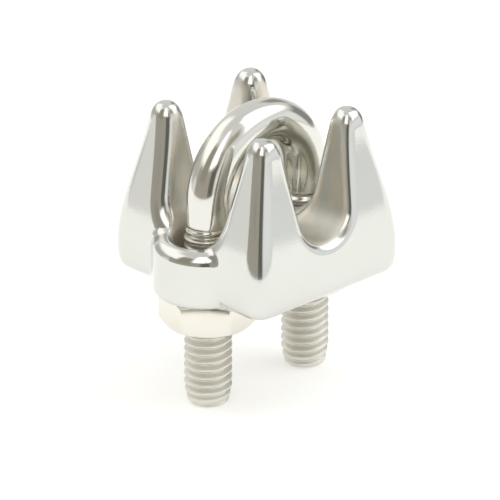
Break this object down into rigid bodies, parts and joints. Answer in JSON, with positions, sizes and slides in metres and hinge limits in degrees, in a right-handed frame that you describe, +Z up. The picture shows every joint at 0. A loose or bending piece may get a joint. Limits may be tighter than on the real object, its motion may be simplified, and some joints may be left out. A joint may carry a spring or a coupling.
{
  "type": "wire rope clip",
  "caption": "Cast wire rope clip: horned saddle with a rope seat, a threaded U-bolt through its bosses, and a hexagon nut under each boss.",
  "frame": {"origin": "on the axis of the rope seat, at the middle of its length", "axes": "+Z up, out of the rope seat towards the U-bolt's bend; +Y along the rope; +X from the left leg to the right leg"},
  "size_m": [0.0202, 0.0174, 0.0245],
  "materials": {
    "cast_stainless": "investment-cast stainless steel, mirror polished",
    "bolt_stainless": "stainless steel bar, polished, with rolled satin threads",
    "nut_stainless": "cold-formed stainless steel nut, polished flats"
  },
  "bodies": {
    "saddle": {"saddle": "cast_stainless"},
    "u_bolt": {"u_bolt": "bolt_stainless"},
    "nut_left": {"nut_left": "nut_stainless"},
    "nut_right": {"nut_right": "nut_stainless"}
  },
  "joints": [
    {"name": "u_bolt_draw", "type": "slide", "parent": "saddle", "child": "u_bolt", "axis": [0, 0, -1], "range_m": [-0.007, 0.00455]},
    {"name": "nut_left_turn", "type": "hinge", "parent": "saddle", "child": "nut_left", "pos_m": [-0.00547, 0, -0.00895], "axis": [0, 0, 1], "range_deg": [-3601, 2341]},
    {"name": "nut_right_turn", "type": "hinge", "parent": "saddle", "child": "nut_right", "pos_m": [0.00547, 0, -0.00895], "axis": [0, 0, 1], "range_deg": [-3601, 2341]}
  ],
  "couplings": [
    {"joint": "nut_left_turn", "follows": "u_bolt_draw", "rad_per_m": 8976},
    {"joint": "nut_right_turn", "follows": "u_bolt_draw", "rad_per_m": 8976}
  ]
}
